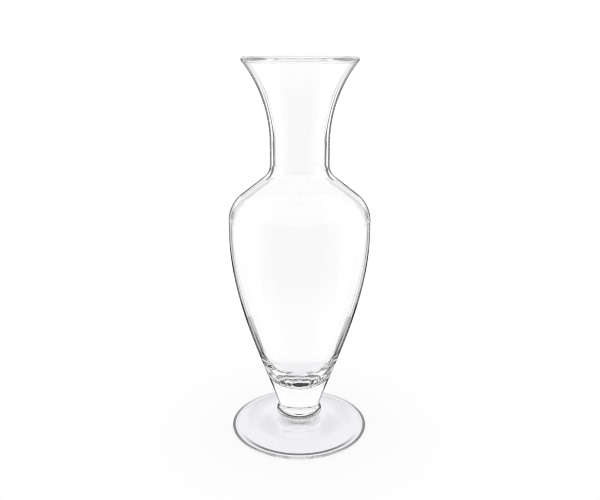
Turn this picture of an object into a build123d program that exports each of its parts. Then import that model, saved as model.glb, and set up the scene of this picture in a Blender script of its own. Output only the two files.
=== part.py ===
from build123d import *
import os
from math import acos, atan2, cos, degrees, hypot, radians, sin, tan

# A footed vase of clear glass, worked hot from four gathers that are stuck end to end on one axis:
# a spread foot, a rounded collar, a solid tapered stem, and a blown bowl with a round shoulder,
# a straight neck and a trumpet mouth. Each gather is a solid of its own, and the joints are the flat
# discs where one gather is stuck to the next. Millimetres. The origin is on the table, at the centre
# of the ring that the foot stands on, with +Z up the axis.

# Foot: a disc that rises to the collar, hollowed underneath so that it stands on its outer ring
foot_diameter = 79.2
foot_height = 7.6
foot_edge_thickness = 1.8
foot_edge_slope = 6.0
foot_ring_width = 2.0
foot_hollow_depth = 3.4

# Collar: the button of glass between the foot and the stem
collar_diameter = 26.4
collar_height = 5.8
collar_foot_joint_diameter = 23.8

# Stem: a solid cone, widest under the bowl
stem_height = 11.8
stem_bottom_diameter = 23.0
stem_top_diameter = 31.06

# Bowl, outside
bowl_taper_height = 94.0
bowl_bottom_slope = 20.0
belly_diameter = 78.1
belly_to_shoulder_height = 15.3
shoulder_rise = 18.0
shoulder_radius = 17.0
neck_diameter = 32.3
neck_height = 16.2
neck_fillet_radius = 9.3
flare_height = 44.5
lip_diameter = 61.8
lip_bead_overhang = 0.15

# Bowl, inside
wall = 2.5
belly_wall = 1.5
heel_wall = 2.4
heel_height = 24.0
floor_thickness = 3.8

# How far the long curve of the taper follows its two end directions, as shares of its height
taper_bottom_share = 0.28
taper_belly_share = 0.36
# How far the floor keeps level from the axis, and the heel keeps to the wall, before they meet
floor_level_share = 0.5
heel_straight_share = 0.5

# Heights of the joints and of the bowl's own stations, counted up from the table
collar_z = foot_height
stem_z = collar_z + collar_height
bowl_z = stem_z + stem_height
belly_z = bowl_z + bowl_taper_height
shoulder_z = belly_z + belly_to_shoulder_height
neck_z = shoulder_z + shoulder_rise
flare_z = neck_z + neck_height
lip_z = flare_z + flare_height

# Radii that two or more profiles share
foot_radius = foot_diameter / 2
collar_foot_radius = collar_foot_joint_diameter / 2
stem_bottom_radius = stem_bottom_diameter / 2
stem_top_radius = stem_top_diameter / 2
belly_radius = belly_diameter / 2
neck_radius = neck_diameter / 2

# The trumpet mouth is one sweep of the wall about a centre outside the vase, ended by the lip's round bead
half_wall = wall / 2
bead_radius = half_wall + lip_bead_overhang
bead_centre = (lip_diameter / 2 - bead_radius, lip_z - bead_radius)
flare_spread = bead_centre[0] - neck_radius + half_wall
flare_rise = bead_centre[1] - flare_z
flare_radius = (flare_spread**2 + flare_rise**2) / (2 * flare_spread)
flare_centre = (neck_radius - half_wall + flare_radius, flare_z)
flare_angle = atan2(flare_rise, flare_radius - flare_spread)
bead_crown = (
    bead_centre[0] + bead_radius * sin(flare_angle),
    bead_centre[1] + bead_radius * cos(flare_angle),
)


def taper(bottom, belly, slope):
    """Control points of the long curve from the bottom of a taper up to the upright belly."""
    height = belly[1] - bottom[1]
    reach = taper_bottom_share * height
    return [
        bottom,
        (bottom[0] + reach * tan(radians(slope)), bottom[1] + reach),
        (belly[0], belly[1] - taper_belly_share * height),
        belly,
    ]


def belly_to_neck(belly_inset, neck_inset):
    """Corners of the upright belly, the sloping shoulder and the upright neck, set in from the outside."""
    shoulder_turn = atan2(belly_radius - neck_radius, shoulder_rise)
    drop = tan(shoulder_turn / 2)
    return [
        (belly_radius - belly_inset, belly_z),
        (belly_radius - belly_inset, shoulder_z - belly_inset * drop),
        (neck_radius - neck_inset, neck_z - neck_inset * drop),
        (neck_radius - neck_inset, flare_z),
    ]


def flare(face_radius):
    """One face of the trumpet, from the neck up to where the lip's bead covers it."""
    bead_cosine = (flare_radius**2 + face_radius**2 - bead_radius**2) / (2 * flare_radius * face_radius)
    return CenterArc(flare_centre, face_radius, 180, degrees(acos(bead_cosine) - flare_angle))


# Foot
with BuildPart() as foot:
    edge_radius = foot_edge_thickness / 2
    edge_centre = (foot_radius - edge_radius, edge_radius)
    hollow_radius = edge_centre[0] - foot_ring_width
    edge_top = (
        edge_centre[0] + edge_radius * sin(radians(foot_edge_slope)),
        edge_centre[1] + edge_radius * cos(radians(foot_edge_slope)),
    )
    top_direction = (-cos(radians(foot_edge_slope)), sin(radians(foot_edge_slope)))
    with BuildSketch(Plane.XZ):
        with BuildLine():
            hollow = TangentArc((0, foot_hollow_depth), (hollow_radius, 0), tangent=(1, 0))
            ring = Line(hollow @ 1, (edge_centre[0], 0))
            edge = ThreePointArc(ring @ 1, (foot_radius, edge_radius), edge_top)
            spread = TangentArc(edge @ 1, (collar_foot_radius, foot_height), tangent=top_direction)
            Polyline(spread @ 1, (0, foot_height), hollow @ 0)
        make_face()
    revolve(axis=Axis.Z)

# Collar
with BuildPart() as collar:
    with BuildSketch(Plane.XZ):
        with BuildLine():
            bulge = ThreePointArc(
                (collar_foot_radius, collar_z),
                (collar_diameter / 2, collar_z + collar_height / 2),
                (stem_bottom_radius, stem_z),
            )
            Polyline(bulge @ 1, (0, stem_z), (0, collar_z), bulge @ 0)
        make_face()
    revolve(axis=Axis.Z)

# Stem
with BuildPart() as stem:
    with BuildSketch(Plane.XZ):
        with BuildLine():
            Polyline(
                (0, stem_z), (stem_bottom_radius, stem_z), (stem_top_radius, bowl_z), (0, bowl_z), close=True
            )
        make_face()
    revolve(axis=Axis.Z)

# Bowl
with BuildPart() as bowl:
    floor_z = bowl_z + floor_thickness
    heel_z = floor_z + heel_height
    heel_slope = tan(radians(bowl_bottom_slope))
    heel_radius = (
        stem_top_radius
        + (heel_z - bowl_z) * heel_slope
        - heel_wall * hypot(1, heel_slope)
    )
    heel_drop = heel_straight_share * heel_height
    with BuildSketch(Plane.XZ):
        with BuildLine():
            outer_taper = Bezier(
                *taper((stem_top_radius, bowl_z), (belly_radius, belly_z), bowl_bottom_slope)
            )
            FilletPolyline(*belly_to_neck(0, 0), radius=[shoulder_radius, neck_fillet_radius])
            outer_flare = flare(flare_radius - half_wall)
            inner_flare = flare(flare_radius + half_wall)
            ThreePointArc(outer_flare @ 1, bead_crown, inner_flare @ 1)
            FilletPolyline(
                *belly_to_neck(belly_wall, wall),
                radius=[shoulder_radius - belly_wall, neck_fillet_radius + wall],
            )
            Bezier(
                *taper((heel_radius, heel_z), (belly_radius - belly_wall, belly_z), bowl_bottom_slope)
            )
            Bezier(
                (heel_radius, heel_z),
                (heel_radius - heel_drop * heel_slope, heel_z - heel_drop),
                (floor_level_share * heel_radius, floor_z),
                (0, floor_z),
            )
            Polyline((0, floor_z), (0, bowl_z), outer_taper @ 0)
        make_face()
    revolve(axis=Axis.Z)

os.makedirs("parts", exist_ok=True)
for name, piece in {"foot": foot, "collar": collar, "stem": stem, "bowl": bowl}.items():
    piece.part.label = name
    export_step(piece.part, f"parts/{name}.step")
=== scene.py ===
from math import acos, atan2, cos, hypot, pi, radians, sin, tan

import bmesh
import bpy
from bpy.props import FloatProperty, FloatVectorProperty, IntProperty, PointerProperty
from bpy.types import Operator, Panel, PropertyGroup
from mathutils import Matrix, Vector


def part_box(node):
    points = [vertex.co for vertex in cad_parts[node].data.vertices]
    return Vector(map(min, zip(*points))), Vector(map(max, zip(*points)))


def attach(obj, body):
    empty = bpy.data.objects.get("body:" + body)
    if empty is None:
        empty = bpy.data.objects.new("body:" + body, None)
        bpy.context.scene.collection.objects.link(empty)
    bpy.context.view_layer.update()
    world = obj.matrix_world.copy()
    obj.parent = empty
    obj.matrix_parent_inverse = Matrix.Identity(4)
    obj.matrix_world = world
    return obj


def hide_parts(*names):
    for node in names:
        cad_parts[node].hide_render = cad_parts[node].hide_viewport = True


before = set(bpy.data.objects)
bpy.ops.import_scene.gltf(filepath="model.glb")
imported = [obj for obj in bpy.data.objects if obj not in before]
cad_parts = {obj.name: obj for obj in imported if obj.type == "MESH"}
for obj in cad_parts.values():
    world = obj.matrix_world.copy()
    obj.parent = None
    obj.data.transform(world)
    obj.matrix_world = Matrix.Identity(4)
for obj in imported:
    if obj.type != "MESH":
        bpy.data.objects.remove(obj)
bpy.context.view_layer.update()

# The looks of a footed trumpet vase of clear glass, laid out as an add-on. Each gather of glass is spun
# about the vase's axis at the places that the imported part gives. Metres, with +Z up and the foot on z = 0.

bl_info = {
    "name": "Footed trumpet vase",
    "version": (1, 0, 0),
    "blender": (4, 5, 0),
    "location": "View3D > Sidebar > Vase",
    "description": "Spins the bowl, stem, collar and foot of a clear glass vase and sets its stage",
    "category": "Object",
}

BOWL_LOW, BOWL_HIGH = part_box("bowl")
STEM_LOW, STEM_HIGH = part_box("stem")
COLLAR_LOW, COLLAR_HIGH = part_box("collar")
FOOT_LOW, FOOT_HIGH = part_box("foot")
MM = 0.001


def length(name, description, millimetres):
    """A size in millimetres, kept as a length property."""
    return FloatProperty(
        name=name, description=description, default=millimetres * MM, min=0.0, unit="LENGTH", precision=5
    )


def angle(name, description, in_degrees):
    """A direction in degrees, kept as a rotation property."""
    return FloatProperty(name=name, description=description, default=radians(in_degrees), unit="ROTATION")


def share(name, description, value):
    """A part of a whole, from 0 to 1."""
    return FloatProperty(name=name, description=description, default=value, min=0.0, max=1.0, subtype="FACTOR")


def colour(name, description, rgb):
    """A linear colour."""
    return FloatVectorProperty(name=name, description=description, default=rgb, size=3, subtype="COLOR")


class VaseSizes(PropertyGroup):
    """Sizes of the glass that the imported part's boxes do not give."""

    foot_edge: length("Foot edge", "Thickness of the foot's round edge", 1.8)
    foot_edge_slope: angle("Foot edge slope", "How steeply the foot starts to rise from its edge", 6.0)
    foot_ring: length("Foot ring", "Width of the flat ring that the foot stands on", 2.0)
    foot_hollow: length("Foot hollow", "Depth of the hollow under the foot", 3.4)
    collar_joint: length("Collar joint", "Diameter of the joint between the collar and the foot", 23.8)
    stem_bottom: length("Stem bottom", "Diameter of the stem where it meets the collar", 23.0)
    taper_height: length("Taper height", "From the stem joint up to where the belly stands upright", 94.0)
    taper_slope: angle("Taper slope", "Lean of the bowl where it leaves the stem", 20.0)
    shoulder_height: length("Shoulder height", "From the start of the belly up to the shoulder's corner", 15.3)
    shoulder_rise: length("Shoulder rise", "From the shoulder's corner up to the neck's corner", 18.0)
    shoulder_round: length("Shoulder round", "Radius of the shoulder", 17.0)
    neck: length("Neck", "Diameter of the neck", 32.3)
    neck_height: length("Neck height", "From the neck's corner up to where the trumpet begins", 16.2)
    neck_round: length("Neck round", "Radius between the shoulder and the neck", 9.3)
    lip: length("Lip", "Diameter of the lip", 61.8)
    lip_overhang: length("Lip overhang", "How far the lip's bead stands out from the wall", 0.15)
    wall: length("Wall", "Thickness of the wall in the neck and the trumpet", 2.5)
    belly_wall: length("Belly wall", "Thickness of the wall where the belly is blown widest", 1.5)
    heel_wall: length("Heel wall", "Thickness of the wall where it turns into the floor", 2.4)
    heel_height: length("Heel height", "From the floor up to where the wall is straight", 24.0)
    floor: length("Floor", "Thickness of the bowl's floor at the axis", 3.8)
    heel_wave: length("Heel wave", "Height of the waves that gathering leaves in the heel", 0.045)
    taper_bottom_share: share("Taper bottom share", "How far the taper follows its lower direction", 0.28)
    taper_belly_share: share("Taper belly share", "How far the taper follows the upright belly", 0.36)
    floor_level_share: share("Floor level share", "How far the floor stays level from the axis", 0.5)
    heel_straight_share: share("Heel straight share", "How far the heel follows the wall", 0.5)
    turns: IntProperty(name="Steps round", description="Steps of each spin about the axis", default=384, min=64)


class VaseLook(PropertyGroup):
    """Colours and finish of the glass, the floor and the light, and the shadow painted on the floor under the
    foot.
    """

    tint: colour("Tint", "Colour of the glass in thick places", (1.0, 1.0, 1.0))
    index: FloatProperty(
        name="Refractive index", description="How strongly the glass bends light", default=1.51
    )
    ripple: length("Ripple", "Depth of the soft waves that hot working leaves", 0.02)
    paper: colour("Paper", "Colour of the floor", (0.93, 0.93, 0.94))
    cool: colour("Cool", "Colour that the front of the studio has in reflections", (0.24, 0.25, 0.55))
    # Painted shadow: the colour that stands in for the foot's shadow on the floor seen through the glass.
    floor_shadow: colour("Shade", "Colour of the floor under the foot", (0.87, 0.87, 0.91))


class Value:
    """A number that a node puts out. Arithmetic on it adds Math nodes."""

    def __init__(self, tree, socket):
        self.tree = tree
        self.socket = socket

    def _math(self, operation, first, second):
        return self.tree.node("ShaderNodeMath", {"operation": operation}, {0: first, 1: second})

    def __add__(self, other):
        return self._math("ADD", self, other)

    def __mul__(self, other):
        return self._math("MULTIPLY", self, other)

    def __sub__(self, other):
        return self._math("SUBTRACT", self, other)

    def __rtruediv__(self, other):
        return self._math("DIVIDE", other, self)

    def __rsub__(self, other):
        return self._math("SUBTRACT", other, self)

    __radd__ = __add__
    __rmul__ = __mul__

    def over(self, limit):
        """1 where the number is over a limit, else 0."""
        return self._math("GREATER_THAN", self, limit)

    def under(self, limit):
        """1 where the number is under a limit, else 0."""
        return self._math("LESS_THAN", self, limit)

    def most(self, other):
        """The larger of two numbers."""
        return self._math("MAXIMUM", self, other)

    def size(self):
        """The number without its sign."""
        return self._math("ABSOLUTE", self, 0.0)

    def rise(self, low, high):
        """A smooth step from 0 at low to 1 at high."""
        return self.tree.node(
            "ShaderNodeMapRange",
            {"interpolation_type": "SMOOTHSTEP"},
            {"Value": self, "From Min": low, "From Max": high},
        )


class Tree:
    """A node tree of a material or a world, emptied first."""

    def __init__(self, owner):
        owner.use_nodes = True
        self.nodes = owner.node_tree.nodes
        self.links = owner.node_tree.links
        self.nodes.clear()

    def node(self, kind, settings=None, sockets=None, out=0):
        """Adds a node of a kind, sets it, then gives its sockets values or links. Returns one output."""
        made = self.nodes.new(kind)
        for name, value in (settings or {}).items():
            setattr(made, name, value)
        for name, value in (sockets or {}).items():
            if isinstance(value, Value):
                self.links.new(value.socket, made.inputs[name])
            else:
                made.inputs[name].default_value = value
        return Value(self, made.outputs[out]) if made.outputs else made

    def path(self):
        """What kind of ray is being followed, and how often it has crossed or turned at a surface."""
        kinds = ("Is Camera Ray", "Is Glossy Ray", "Is Transmission Ray", "Glossy Depth", "Transmission Depth")
        return {kind: self.node("ShaderNodeLightPath", out=kind) for kind in kinds}


def glass_material(look):
    """Clear glass with the soft ripple of hot working."""
    material = bpy.data.materials.new("clear_glass")
    tree = Tree(material)
    place = tree.node("ShaderNodeTexCoord", out="Object")
    waves = tree.node("ShaderNodeTexNoise", sockets={"Vector": place, "Scale": 60.0, "Detail": 1.0})
    height = tree.node("ShaderNodeSeparateXYZ", sockets={0: place}, out=2)
    depth = look.ripple * waves * (1.0 - height.rise(0.1, 0.14))
    ripple = tree.node("ShaderNodeBump", sockets={"Strength": 1.0, "Distance": 1.0, "Height": depth})
    surface = tree.node(
        "ShaderNodeBsdfPrincipled",
        sockets={
            "Base Color": (*look.tint, 1.0),
            "Roughness": 0.0,
            "IOR": look.index,
            "Transmission Weight": 1.0,
            "Normal": ripple,
        },
    )
    tree.node("ShaderNodeOutputMaterial", sockets={"Surface": surface})
    return material


def weld_material():
    """A joint where glass is fused to glass: light crosses it without bending."""
    material = bpy.data.materials.new("weld")
    tree = Tree(material)
    surface = tree.node("ShaderNodeBsdfTransparent")
    tree.node("ShaderNodeOutputMaterial", sockets={"Surface": surface})
    return material


def arc(centre, radius, start, end, steps):
    """Points on a circle from one angle to another."""
    turns = [start + (end - start) * step / steps for step in range(steps + 1)]
    return [Vector((centre[0] + radius * cos(turn), centre[1] + radius * sin(turn))) for turn in turns]


def bezier(points, steps):
    """Points on a cubic curve."""
    p0, p1, p2, p3 = (Vector(point) for point in points)
    shares = [step / steps for step in range(steps + 1)]
    return [
        (1 - t) ** 3 * p0 + 3 * (1 - t) ** 2 * t * p1 + 3 * (1 - t) * t**2 * p2 + t**3 * p3 for t in shares
    ]


def tangent_arc(start, direction, end, steps):
    """Points on the circle that leaves start in a direction and passes through end."""
    start, end = Vector(start), Vector(end)
    normal = Vector((-direction[1], direction[0])).normalized()
    chord = end - start
    reach = chord.length_squared / (2 * chord.dot(normal))
    centre = start + normal * reach
    first = atan2(start.y - centre.y, start.x - centre.x)
    last = atan2(end.y - centre.y, end.x - centre.x)
    sweep = (last - first + pi) % (2 * pi) - pi
    return arc(centre, abs(reach), first, first + sweep, steps)


def through_arc(start, middle, end, steps):
    """Points on the circle through three points."""
    start, middle, end = Vector(start), Vector(middle), Vector(end)
    a, b = middle - start, end - start
    cross = 2 * (a.x * b.y - a.y * b.x)
    centre = start + Vector(
        (b.y * a.length_squared - a.y * b.length_squared, a.x * b.length_squared - b.x * a.length_squared)
    ) / cross
    first = atan2(start.y - centre.y, start.x - centre.x)
    last = atan2(end.y - centre.y, end.x - centre.x)
    sweep = (last - first) % (2 * pi)
    if cross < 0:
        sweep -= 2 * pi
    return arc(centre, (start - centre).length, first, first + sweep, steps)


def round_corner(before, corner, after, radius, steps):
    """Points on the arc that rounds a corner between two lines."""
    before, corner, after = Vector(before), Vector(corner), Vector(after)
    back, ahead = (before - corner).normalized(), (after - corner).normalized()
    half = acos(max(-1.0, min(1.0, back.dot(ahead)))) / 2
    centre = corner + (back + ahead).normalized() * radius / sin(half)
    first = corner + back * radius / tan(half) - centre
    last = corner + ahead * radius / tan(half) - centre
    start, end = atan2(first.y, first.x), atan2(last.y, last.x)
    sweep = (end - start + pi) % (2 * pi) - pi
    return arc(centre, radius, start, start + sweep, steps)


def joined(*stretches):
    """One outline from stretches that meet end to start."""
    points = []
    for stretch in stretches:
        for point in stretch:
            point = Vector(point)
            if not points or (point - points[-1]).length > 1e-7:
                points.append(point)
    return points


def spin(name, outline, joints, turns, materials, swell=None):
    """Spins an outline of radius and height, from the axis round to the axis, into a closed mesh.

    Faces between two points at one of the joint heights take the weld, and the rest the glass. A swell gives
    the offset of a point of the outline at an angle round the axis.
    """
    mesh = bmesh.new()
    rings = []
    steps = [2 * pi * turn / turns for turn in range(turns)]
    for spot, point in enumerate(outline):
        if point.x < 1e-9:
            rings.append([mesh.verts.new((0.0, 0.0, point.y))])
            continue
        places = [point + swell(spot, step) if swell else point for step in steps]
        rings.append([mesh.verts.new((x * cos(step), x * sin(step), z)) for step, (x, z) in zip(steps, places)])
    for (low, high), lower, upper in zip(zip(outline, outline[1:]), rings, rings[1:]):
        weld = any(abs(low.y - z) < 1e-7 and abs(high.y - z) < 1e-7 for z in joints)
        for turn in range(turns):
            corners = [
                lower[turn % len(lower)],
                lower[(turn + 1) % len(lower)],
                upper[(turn + 1) % len(upper)],
                upper[turn % len(upper)],
            ]
            face = mesh.faces.new(list(dict.fromkeys(corners)))
            face.smooth = not weld
            face.material_index = int(weld)
    data = bpy.data.meshes.new(name)
    mesh.to_mesh(data)
    mesh.free()
    data.set_sharp_from_angle(angle=radians(30))
    for face in data.polygons:
        if face.material_index:
            for corner in face.loop_indices:
                data.edges[data.loops[corner].edge_index].use_edge_sharp = True
    for material in materials:
        data.materials.append(material)
    piece = bpy.data.objects.new(name, data)
    bpy.context.scene.collection.objects.link(piece)
    return piece


def keep(piece, node):
    """Puts a piece in the place of its node, on the part's one body."""
    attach(piece, "root")
    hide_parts(node)


def glass_pair(look):
    """The glass and the weld, made once."""
    glass = bpy.data.materials.get("clear_glass_look") or glass_material(look)
    glass.name = "clear_glass_look"
    weld = bpy.data.materials.get("weld_look") or weld_material()
    weld.name = "weld_look"
    return [glass, weld]


class VASE_OT_foot(Operator):
    """Spin the foot, with its round edge and its hollow underside"""

    bl_idname = "vase.foot"
    bl_label = "Foot"

    def execute(self, context):
        size = context.scene.vase_sizes
        edge = size.foot_edge / 2
        radius = FOOT_HIGH.x
        seat = (size.collar_joint / 2, FOOT_HIGH.z)
        ring = radius - edge
        slope = size.foot_edge_slope
        rim = arc((ring, edge), edge, -pi / 2, pi / 2 - slope, 24)
        outline = joined(
            tangent_arc((0.0, size.foot_hollow), (1.0, 0.0), (ring - size.foot_ring, 0.0), 24),
            rim,
            tangent_arc(rim[-1], (-cos(slope), sin(slope)), seat, 32),
            [seat, (0.0, FOOT_HIGH.z)],
        )
        glass = glass_pair(context.scene.vase_look)
        keep(spin("glass_foot", outline, [FOOT_HIGH.z], size.turns, glass), "foot")
        return {"FINISHED"}


class VASE_OT_collar(Operator):
    """Spin the rounded collar"""

    bl_idname = "vase.collar"
    bl_label = "Collar"

    def execute(self, context):
        size = context.scene.vase_sizes
        middle = (COLLAR_HIGH.x, (COLLAR_LOW.z + COLLAR_HIGH.z) / 2)
        bulge = through_arc(
            (size.collar_joint / 2, COLLAR_LOW.z), middle, (size.stem_bottom / 2, COLLAR_HIGH.z), 32
        )
        outline = joined([(0.0, COLLAR_LOW.z)], bulge, [(0.0, COLLAR_HIGH.z)])
        joints = [COLLAR_LOW.z, COLLAR_HIGH.z]
        keep(spin("glass_collar", outline, joints, size.turns, glass_pair(context.scene.vase_look)), "collar")
        return {"FINISHED"}


class VASE_OT_stem(Operator):
    """Spin the solid tapered stem"""

    bl_idname = "vase.stem"
    bl_label = "Stem"

    def execute(self, context):
        size = context.scene.vase_sizes
        low, high = Vector((size.stem_bottom / 2, STEM_LOW.z)), Vector((STEM_HIGH.x, STEM_HIGH.z))
        side = [low.lerp(high, step / 16) for step in range(17)]
        outline = joined([(0.0, STEM_LOW.z)], side, [(0.0, STEM_HIGH.z)])
        joints = [STEM_LOW.z, STEM_HIGH.z]
        keep(spin("glass_stem", outline, joints, size.turns, glass_pair(context.scene.vase_look)), "stem")
        return {"FINISHED"}


class VASE_OT_bowl(Operator):
    """Spin the blown bowl, from its floor to its trumpet mouth"""

    bl_idname = "vase.bowl"
    bl_label = "Bowl"

    def taper(self, size, bottom, belly):
        """The long curve from a bottom point up to the upright belly."""
        height = belly[1] - bottom[1]
        reach = size.taper_bottom_share * height
        return bezier(
            [
                bottom,
                (bottom[0] + reach * tan(size.taper_slope), bottom[1] + reach),
                (belly[0], belly[1] - size.taper_belly_share * height),
                belly,
            ],
            96,
        )

    def hidden(self, sweep, offset, bead):
        """The angle of the trumpet's sweep that the lip's bead covers, on one face."""
        face = sweep + offset
        return acos(min(1.0, (sweep**2 + face**2 - bead**2) / (2 * sweep * face)))

    def belly_to_neck(self, size, belly_inset, neck_inset):
        """The upright belly, the round shoulder and the neck, set in from the outside."""
        belly_z = BOWL_LOW.z + size.taper_height
        shoulder_z = belly_z + size.shoulder_height
        neck_z = shoulder_z + size.shoulder_rise
        belly, neck = BOWL_HIGH.x, size.neck / 2
        drop = tan(atan2(belly - neck, size.shoulder_rise) / 2)
        corners = [
            (belly - belly_inset, belly_z),
            (belly - belly_inset, shoulder_z - belly_inset * drop),
            (neck - neck_inset, neck_z - neck_inset * drop),
            (neck - neck_inset, neck_z + size.neck_height),
        ]
        return joined(
            corners[:1],
            round_corner(*corners[:3], size.shoulder_round - belly_inset, 32),
            round_corner(*corners[1:], size.neck_round + neck_inset, 24),
            corners[3:],
        )

    def waves(self, size, outline, first):
        """The waves on the inner heel, from the first point of the outline that lies inside the bowl."""
        floor_z = BOWL_LOW.z + size.floor

        def swell(spot, turn):
            if spot < first or outline[spot].y > floor_z + size.heel_height:
                return Vector((0.0, 0.0))
            before, after = outline[spot - 1], outline[spot + 1]
            across = (after - before).orthogonal().normalized()
            climb = max(0.0, (outline[spot].y - floor_z) / size.heel_height)
            held = sin(pi * climb**0.5) ** 2
            rolls = sum(
                sin(count * turn + start + lean * climb)
                for count, start, lean in ((12, 0.4, 14.0), (12, 0.9, -14.0), (20, 4.0, 8.0), (20, 1.2, -8.0))
            )
            return across * (size.heel_wave * held * rolls / 2)

        return swell

    def execute(self, context):
        size = context.scene.vase_sizes
        half = size.wall / 2
        neck, lip = size.neck / 2, size.lip / 2
        belly_z = BOWL_LOW.z + size.taper_height
        flare_z = belly_z + size.shoulder_height + size.shoulder_rise + size.neck_height
        bead = half + size.lip_overhang
        lip_centre = Vector((lip - bead, BOWL_HIGH.z - bead))
        spread, rise = lip_centre.x - neck + half, lip_centre.y - flare_z
        sweep_radius = (spread**2 + rise**2) / (2 * spread)
        centre = Vector((neck - half + sweep_radius, flare_z))
        turn = atan2(rise, sweep_radius - spread)
        floor_z = BOWL_LOW.z + size.floor
        heel_z = floor_z + size.heel_height
        lean = tan(size.taper_slope)
        heel = STEM_HIGH.x + (heel_z - BOWL_LOW.z) * lean - size.heel_wall * hypot(1.0, lean)
        drop = size.heel_straight_share * size.heel_height
        outside = joined(
            self.taper(size, (STEM_HIGH.x, BOWL_LOW.z), (BOWL_HIGH.x, belly_z)),
            self.belly_to_neck(size, 0.0, 0.0),
            arc(centre, sweep_radius - half, pi, pi - turn + self.hidden(sweep_radius, -half, bead), 96),
        )
        inside = joined(
            bezier(
                [
                    (0.0, floor_z),
                    (size.floor_level_share * heel, floor_z),
                    (heel - drop * lean, heel_z - drop),
                    (heel, heel_z),
                ],
                64,
            ),
            self.taper(size, (heel, heel_z), (BOWL_HIGH.x - size.belly_wall, belly_z)),
            self.belly_to_neck(size, size.belly_wall, size.wall),
            arc(centre, sweep_radius + half, pi, pi - turn + self.hidden(sweep_radius, half, bead), 96),
        )
        start, end = outside[-1] - lip_centre, inside[-1] - lip_centre
        first, last = atan2(start.y, start.x), atan2(end.y, end.x)
        round_lip = arc(lip_centre, bead, first, first + (last - first) % (2 * pi), 32)
        outline = joined([(0.0, BOWL_LOW.z)], outside, round_lip, reversed(inside))
        swell = self.waves(size, outline, len(outline) - len(inside))
        glass = glass_pair(context.scene.vase_look)
        keep(spin("glass_bowl", outline, [BOWL_LOW.z], size.turns, glass, swell), "bowl")
        return {"FINISHED"}


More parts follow.
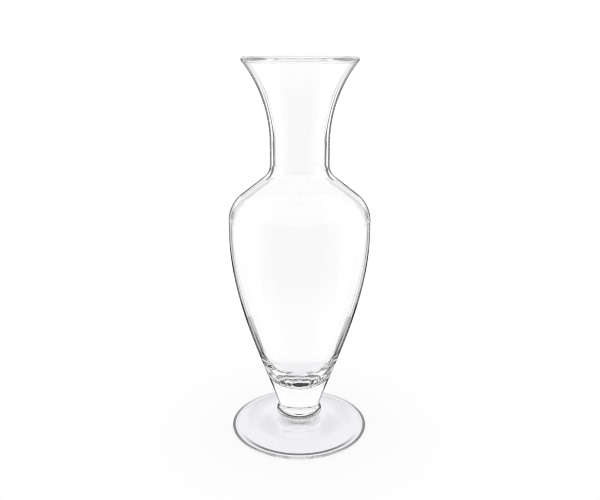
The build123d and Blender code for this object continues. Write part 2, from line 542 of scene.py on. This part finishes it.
class VASE_OT_stage(Operator):
    """Set the floor, the light and the camera"""

    bl_idname = "vase.stage"
    bl_label = "Stage"

    def execute(self, context):
        scene = context.scene
        look = scene.vase_look
        self.world(scene, look)
        self.floor(scene, look)
        self.camera(scene)
        scene.view_settings.view_transform = "Standard"
        scene.cycles.max_bounces = 256
        scene.cycles.glossy_bounces = 256
        scene.cycles.transmission_bounces = 256
        scene.cycles.transparent_max_bounces = 32
        scene.cycles.filter_width = 1.0
        return {"FINISHED"}

    def bearing(self, tree, place):
        """The angle of a place round the vase, counted both ways from straight behind it."""
        east = tree.node("ShaderNodeSeparateXYZ", sockets={0: place}, out=0)
        north = tree.node("ShaderNodeSeparateXYZ", sockets={0: place}, out=1)
        return tree.node("ShaderNodeMath", {"operation": "ARCTAN2"}, {0: east, 1: north}).size()

    def reflected(self, path):
        """1 for light that glances off the outside of the glass, else 0."""
        return path["Is Glossy Ray"] * (1.0 - path["Is Transmission Ray"])

    def lost(self, path, bearing, sink, high, flare, near, spread, outline, inner, ahead, low):
        """How dark the studio is for light that the glass has bent hard or turned back inside itself.

        The rules are set for the front, where they draw the dark lines of the walls. Light that crosses both
        walls sees only the strip, which shows as a grey streak in views a little to each side of the front.
        """
        turns, crossings = path["Glossy Depth"], path["Transmission Depth"]
        side = pi / 2 - (pi / 2 - bearing).size()
        wide = side + radians(15) * turns.over(6.5)
        often = 0.95 * turns.over(1.5) * wide.rise(radians(45), radians(60)) * near
        cut = inner + radians(11) * low
        cards = 0.95 * spread * inner.rise(radians(35), radians(41))
        cards = cards * (1.0 - cut.rise(radians(54), radians(62)))
        behind = 0.95 * outline * (1.0 - ahead.rise(radians(18), radians(25)))
        front = 0.25 * bearing.rise(radians(120), radians(140))
        once = turns.over(0.5) * turns.under(1.5) * (crossings.under(2.5) * cards.most(behind)).most(front)
        wings = side.rise(radians(48), radians(54)) * (1.0 - side.rise(radians(76), radians(82)))
        edge = 0.95 * turns.under(0.5) * crossings.under(2.5) * spread * wings
        off = (ahead - radians(10) - radians(9) * sink.rise(-0.03, 0.2) - radians(8) * high).size()
        strip = (0.4 + 0.25 * flare) * turns.under(0.5) * crossings.over(3.5) * crossings.under(4.5) * outline
        return often.most(once).most(edge).most(strip * (1.0 - off.rise(radians(2.4), radians(3.6))))

    def world(self, scene, look):
        """Even white light all round, with the front of the studio less bright in reflections."""
        world = bpy.data.worlds.new("studio")
        scene.world = world
        tree = Tree(world)
        path = tree.path()
        direction = tree.node("ShaderNodeTexCoord", out="Generated")
        bearing = self.bearing(tree, direction)
        climb = tree.node("ShaderNodeSeparateXYZ", sockets={0: direction}, out=2)
        turns, crossings = path["Glossy Depth"], path["Transmission Depth"]
        grazed = (1.0 - bearing.rise(radians(46), radians(54))) * (1.0 - climb.rise(0.02, 0.12))
        facing = self.reflected(path) * bearing.rise(radians(112), radians(119))
        facing = facing * (1.0 - climb.rise(0.35, 0.55))
        front = self.reflected(path) * 0.95 * grazed
        above = 0.6 * turns.under(0.5) * crossings.under(2.5) * climb.rise(0.21, 0.3)
        flat = climb.rise(0.1, 0.14) * (1.0 - climb.rise(0.3, 0.4))
        within = 0.95 * turns.over(1.5) * turns.under(12.5) * crossings.under(2.5)
        inside = within * flat * (1.0 - bearing.rise(radians(20), radians(35)))
        inner = bearing + radians(9) - radians(3) * climb.rise(-0.02, 0.02) + radians(7) * climb.rise(0.2, 0.26)
        spread = 1.0 - climb.rise(0.36, 0.44)
        trapped = 0.7 * turns.over(12.5) * crossings.under(2.5) * climb.rise(0.05, 0.12)
        ahead = bearing + radians(9) * climb.rise(-0.05, -0.02) * turns.over(0.5)
        outline = 1.0 - climb.rise(0.45, 0.55) * (1.0 - climb.rise(0.71, 0.75))
        near = 1.0 - climb.rise(0.4, 0.5)
        lost = self.lost(path, bearing, 0.0 - climb, 0.0, 0.0, near, spread, outline, inner, ahead, 0.0)
        lost = path["Is Transmission Ray"] * lost.most(above).most(inside).most(trapped)
        white = tree.node("ShaderNodeBackground", sockets={"Color": (1.0, 1.0, 1.0, 1.0), "Strength": 1.0})
        dark = tree.node("ShaderNodeBackground", sockets={"Color": (0.0, 0.0, 0.0, 1.0), "Strength": 1.0})
        cool = tree.node("ShaderNodeBackground", sockets={"Color": (*look.cool, 1.0), "Strength": 1.0})
        studio = tree.node("ShaderNodeMixShader", sockets={0: facing, 1: white, 2: cool})
        light = tree.node("ShaderNodeMixShader", sockets={0: lost.most(front), 1: studio, 2: dark})
        tree.node("ShaderNodeOutputWorld", sockets={"Surface": light})

    def floor(self, scene, look):
        """A pale floor that reads as white and keeps a soft real shadow. Seen through the glass, it also has
        shadows painted under the foot, round its edge and under the stem.
        """
        mesh = bmesh.new()
        bmesh.ops.create_circle(mesh, cap_ends=True, radius=3.0, segments=96)
        data = bpy.data.meshes.new("floor")
        mesh.to_mesh(data)
        mesh.free()
        material = bpy.data.materials.new("paper")
        tree = Tree(material)
        path = tree.path()
        turns, crossings = path["Glossy Depth"], path["Transmission Depth"]
        through = path["Is Transmission Ray"]
        place = tree.node("ShaderNodeTexCoord", out="Object")
        reach = tree.node("ShaderNodeVectorMath", {"operation": "LENGTH"}, {0: place}, out="Value")
        sink = 1.0 - tree.node("ShaderNodeLayerWeight", sockets={"Blend": 0.5}, out="Facing")
        steep = sink.rise(0.55, 0.75)
        cleared = reach.rise(0.045, 0.06)
        spread = 0.6 * cleared + 0.4 * reach.rise(0.2, 0.35).most(cleared * (1.0 - reach.rise(0.09, 0.105)))
        # Painted shadow: seen steeply through the glass, the floor under the stem has a dark spot, darkest
        # right under the axis.
        spot = steep * turns.over(0.5) * turns.under(1.5) * (1.0 - reach.rise(0.010, 0.018))
        painted_axis_shadow = 0.6 * steep * turns.under(0.5) * crossings.under(4.5) * (1.0 - reach.rise(0.004, 0.011))
        # Painted shade: under the foot, the floor goes dark for light that has turned inside the glass more
        # than once.
        stood = reach.rise(0.022, 0.026).most(crossings.under(2.5) * reach.rise(0.014, 0.017))
        under = 0.95 * turns.over(1.5) * stood * (1.0 - reach.rise(0.038, 0.043))
        bearing = self.bearing(tree, place)
        # Painted contact shadow: a thin dark ring on the floor where the foot's edge stands, fainter straight
        # behind the vase.
        contact_shadow_ring = 0.8 * reach.rise(0.0376, 0.0382) * (1.0 - reach.rise(0.0392, 0.0398)) * crossings.under(2.5)
        painted_contact_shadow = contact_shadow_ring * (0.35 + 0.65 * bearing.rise(radians(40), radians(80)))
        # Painted contact shadow: a dark ring on the floor under the foot's ring, drawn only in front of the
        # vase.
        lower = 0.85 * reach.rise(0.0342, 0.035) * (1.0 - reach.rise(0.0362, 0.0368)) * crossings.under(2.5)
        painted_front_shadow_line = lower * bearing.rise(radians(105), radians(150))
        outline = reach.rise(0.03, 0.045)
        ahead = bearing - 0.023 / reach - 0.04
        graze = ahead - radians(28) * (1.0 - reach.rise(0.12, 0.14))
        graze = graze - radians(14) * (1.0 - sink.rise(0.09, 0.11))
        grazed = 0.95 * outline * (1.0 - graze.rise(radians(30), radians(40)))
        facing = self.reflected(path) * bearing.rise(radians(112), radians(119)) * reach.rise(0.1, 0.2)
        near = (1.0 - reach.rise(0.6, 1.0)).most(1.0 - sink.rise(0.125, 0.15))
        low = sink.rise(0.15, 0.22) * reach.rise(0.1, 0.14)
        close = 1.0 - reach.rise(0.3, 0.4)
        inner = ahead + near * radians(9) + radians(10) * (1.0 - reach.rise(0.064, 0.076))
        level = 1.0 - sink.rise(0.68, 0.74) * reach.rise(0.11, 0.14)
        height = reach * sink
        flare = height.rise(0.182, 0.192)
        high = height.rise(0.14, 0.15) - 0.75 * flare
        cards_share = spread * level * (1.0 - 0.8 * flare)
        behind_share = outline * level * (1.0 - 0.45 * height.rise(0.194, 0.206))
        lost = self.lost(path, bearing, sink, high, flare, close, cards_share, behind_share, inner, ahead, low)
        far = height.rise(0.14, 0.16) * sink.rise(0.31, 0.36) * (1.0 - sink.rise(0.58, 0.64)) * turns.under(0.5)
        lip_back = far * crossings.under(2.5) * (0.2 + 0.6 * bearing.rise(radians(4), radians(9)))
        lip_back = lip_back * (1.0 - bearing.rise(0.28, 0.38))
        lip_front = far * crossings.over(3.5) * crossings.under(4.5) * (1.0 - sink.rise(0.44, 0.5))
        lip_low = lip_front * (0.25 + 0.55 * bearing.rise(radians(15), radians(20)))
        for part in (spot, painted_axis_shadow, under, painted_contact_shadow, painted_front_shadow_line, lip_back, lip_low):
            lost = lost.most(part)
        white = (path["Is Camera Ray"] + path["Is Glossy Ray"] + through) * (0.8 + 0.2 * reach.rise(0.03, 0.12))
        diffuse = tree.node("ShaderNodeBsdfDiffuse", sockets={"Color": (*look.paper, 1.0)})
        glow = tree.node("ShaderNodeEmission", sockets={"Color": (1.0, 1.0, 1.0, 1.0), "Strength": 1.0})
        dark = tree.node("ShaderNodeEmission", sockets={"Color": (0.0, 0.0, 0.0, 1.0), "Strength": 1.0})
        # Painted shadow: seen through the glass, the floor under the foot glows in a greyer, bluer colour that
        # stands in for the foot's shadow.
        painted_shadow = tree.node("ShaderNodeEmission", sockets={"Color": (*look.floor_shadow, 1.0), "Strength": 1.0})
        cool = tree.node("ShaderNodeEmission", sockets={"Color": (*look.cool, 1.0), "Strength": 1.0})
        pale = tree.node("ShaderNodeMixShader", sockets={0: white, 1: diffuse, 2: glow})
        shadow_under_foot = through * (1.0 - reach.rise(0.035, 0.06))
        floor_with_painted_shadow = tree.node("ShaderNodeMixShader", sockets={0: shadow_under_foot, 1: pale, 2: painted_shadow})
        studio = tree.node("ShaderNodeMixShader", sockets={0: facing, 1: floor_with_painted_shadow, 2: cool})
        hidden = (through * lost).most(self.reflected(path) * grazed)
        surface = tree.node("ShaderNodeMixShader", sockets={0: hidden, 1: studio, 2: dark})
        tree.node("ShaderNodeOutputMaterial", sockets={"Surface": surface})
        data.materials.append(material)
        floor = bpy.data.objects.new("floor", data)
        floor.location.z = -0.05 * MM
        scene.collection.objects.link(floor)

    def camera(self, scene):
        """The camera at the photograph's place and angle."""
        data = bpy.data.cameras.new("camera")
        data.sensor_width = 36.0
        data.lens = 42.84
        camera = bpy.data.objects.new("camera", data)
        camera.location = (0.00026, -0.3839, 0.2209)
        camera.rotation_euler = (radians(73.7), radians(-0.15), radians(0.044))
        scene.collection.objects.link(camera)
        scene.camera = camera


class VASE_PT_panel(Panel):
    """The vase's pieces, sizes and looks"""

    bl_idname = "VASE_PT_panel"
    bl_label = "Trumpet vase"
    bl_space_type = "VIEW_3D"
    bl_region_type = "UI"
    bl_category = "Vase"

    def draw(self, context):
        for operator in PIECES:
            self.layout.operator(operator.bl_idname)
        for group in (context.scene.vase_sizes, context.scene.vase_look):
            for name in group.bl_rna.properties.keys():
                if name not in ("rna_type", "name"):
                    self.layout.prop(group, name)


PIECES = (VASE_OT_foot, VASE_OT_collar, VASE_OT_stem, VASE_OT_bowl, VASE_OT_stage)
CLASSES = (VaseSizes, VaseLook, *PIECES, VASE_PT_panel)


def register():
    for kind in CLASSES:
        bpy.utils.register_class(kind)
    bpy.types.Scene.vase_sizes = PointerProperty(type=VaseSizes)
    bpy.types.Scene.vase_look = PointerProperty(type=VaseLook)


def unregister():
    del bpy.types.Scene.vase_look
    del bpy.types.Scene.vase_sizes
    for kind in reversed(CLASSES):
        bpy.utils.unregister_class(kind)


def main():
    register()
    bpy.ops.vase.foot()
    bpy.ops.vase.collar()
    bpy.ops.vase.stem()
    bpy.ops.vase.bowl()
    bpy.ops.vase.stage()


if __name__ == "__main__":
    main()
